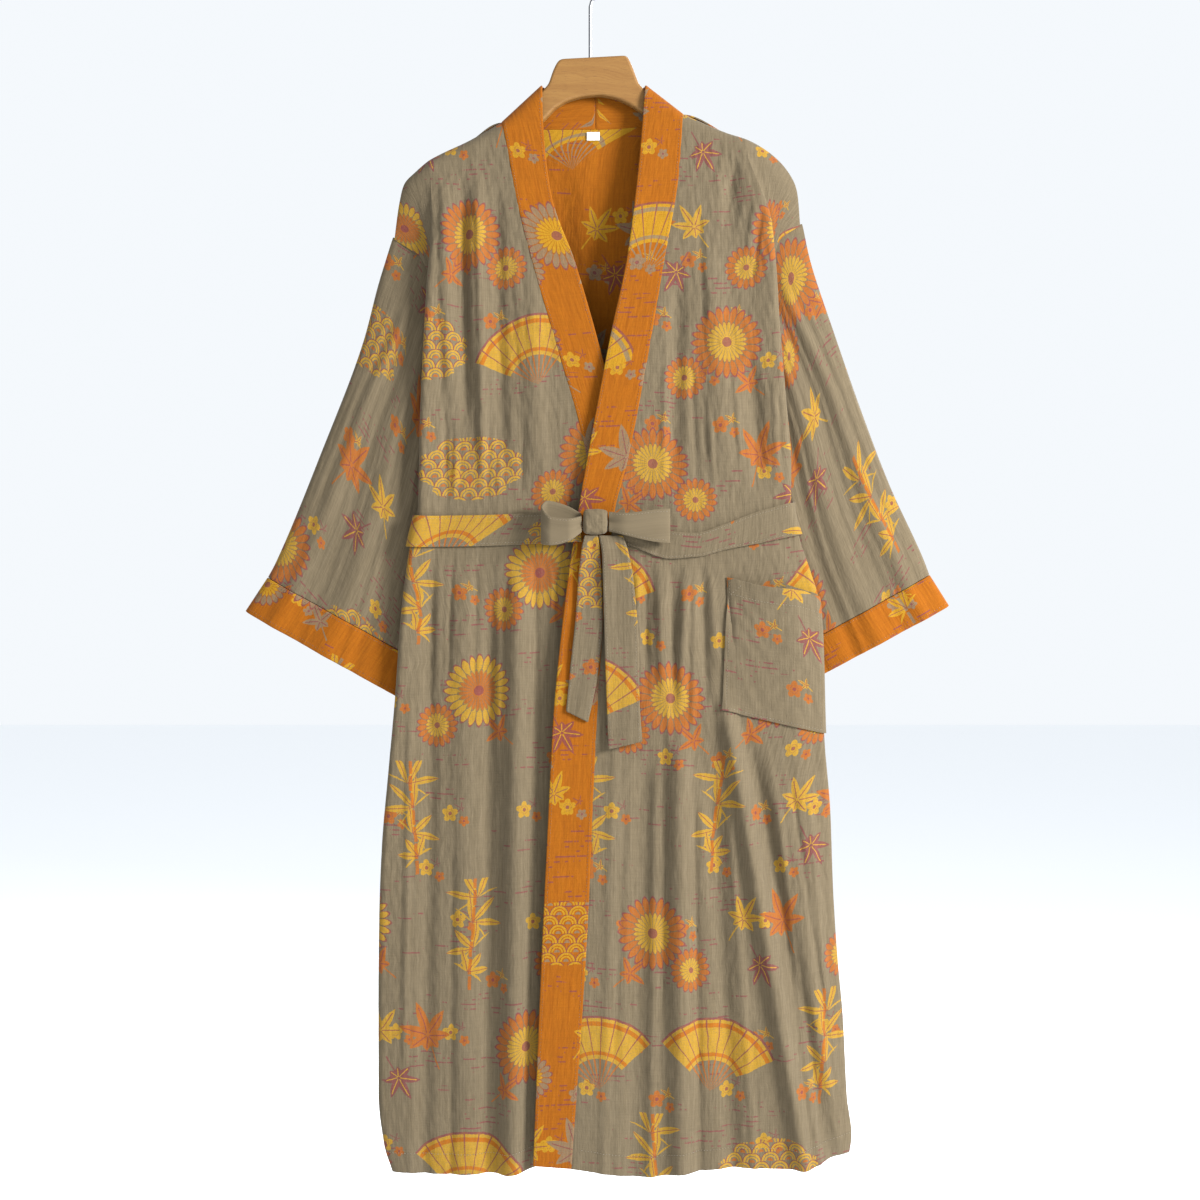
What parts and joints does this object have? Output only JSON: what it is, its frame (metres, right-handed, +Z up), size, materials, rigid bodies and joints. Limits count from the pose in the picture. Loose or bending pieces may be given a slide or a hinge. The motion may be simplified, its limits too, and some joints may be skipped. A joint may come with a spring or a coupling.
{
  "type": "kimono robe on hanger",
  "caption": "Knee-length cotton kimono robe, lapped and tied with a bow, with wide sleeves, a banded front, a patch pocket and a flat wooden hanger.",
  "frame": {"origin": "inside top of the hook's crook, where a rail carries the hanger", "axes": "+Z up along the hook's shank; -Y out of the robe's front; +X towards the robe's left side, which is on the right of someone who faces its front"},
  "size_m": [0.7828, 0.0884, 1.3435],
  "materials": {
    "printed_cotton": "matte crinkled double cotton with a woven design",
    "orange_reverse": "matte crinkled double cotton, reverse side",
    "woven_label": "smooth woven tape",
    "hanger_wood": "satin lacquer",
    "hook_steel": "dark satin wire"
  },
  "bodies": {
    "root": {"front_right": "printed_cotton", "front_left": "printed_cotton", "back": "printed_cotton", "sleeve_right": "printed_cotton", "sleeve_left": "printed_cotton", "pocket": "printed_cotton", "belt_right": "printed_cotton", "belt_left": "printed_cotton", "belt_back": "printed_cotton", "belt_knot": "printed_cotton", "bow_loop_right": "printed_cotton", "bow_loop_left": "printed_cotton", "belt_tail_right": "printed_cotton", "belt_tail_left": "printed_cotton", "neckband_right": "orange_reverse", "neckband_left": "orange_reverse", "neckband_back_right": "orange_reverse", "neckband_back_left": "orange_reverse", "cuff_right": "orange_reverse", "cuff_left": "orange_reverse", "neck_label": "woven_label", "hanger": "hanger_wood", "hanger_hook": "hook_steel"}
  },
  "joints": []
}
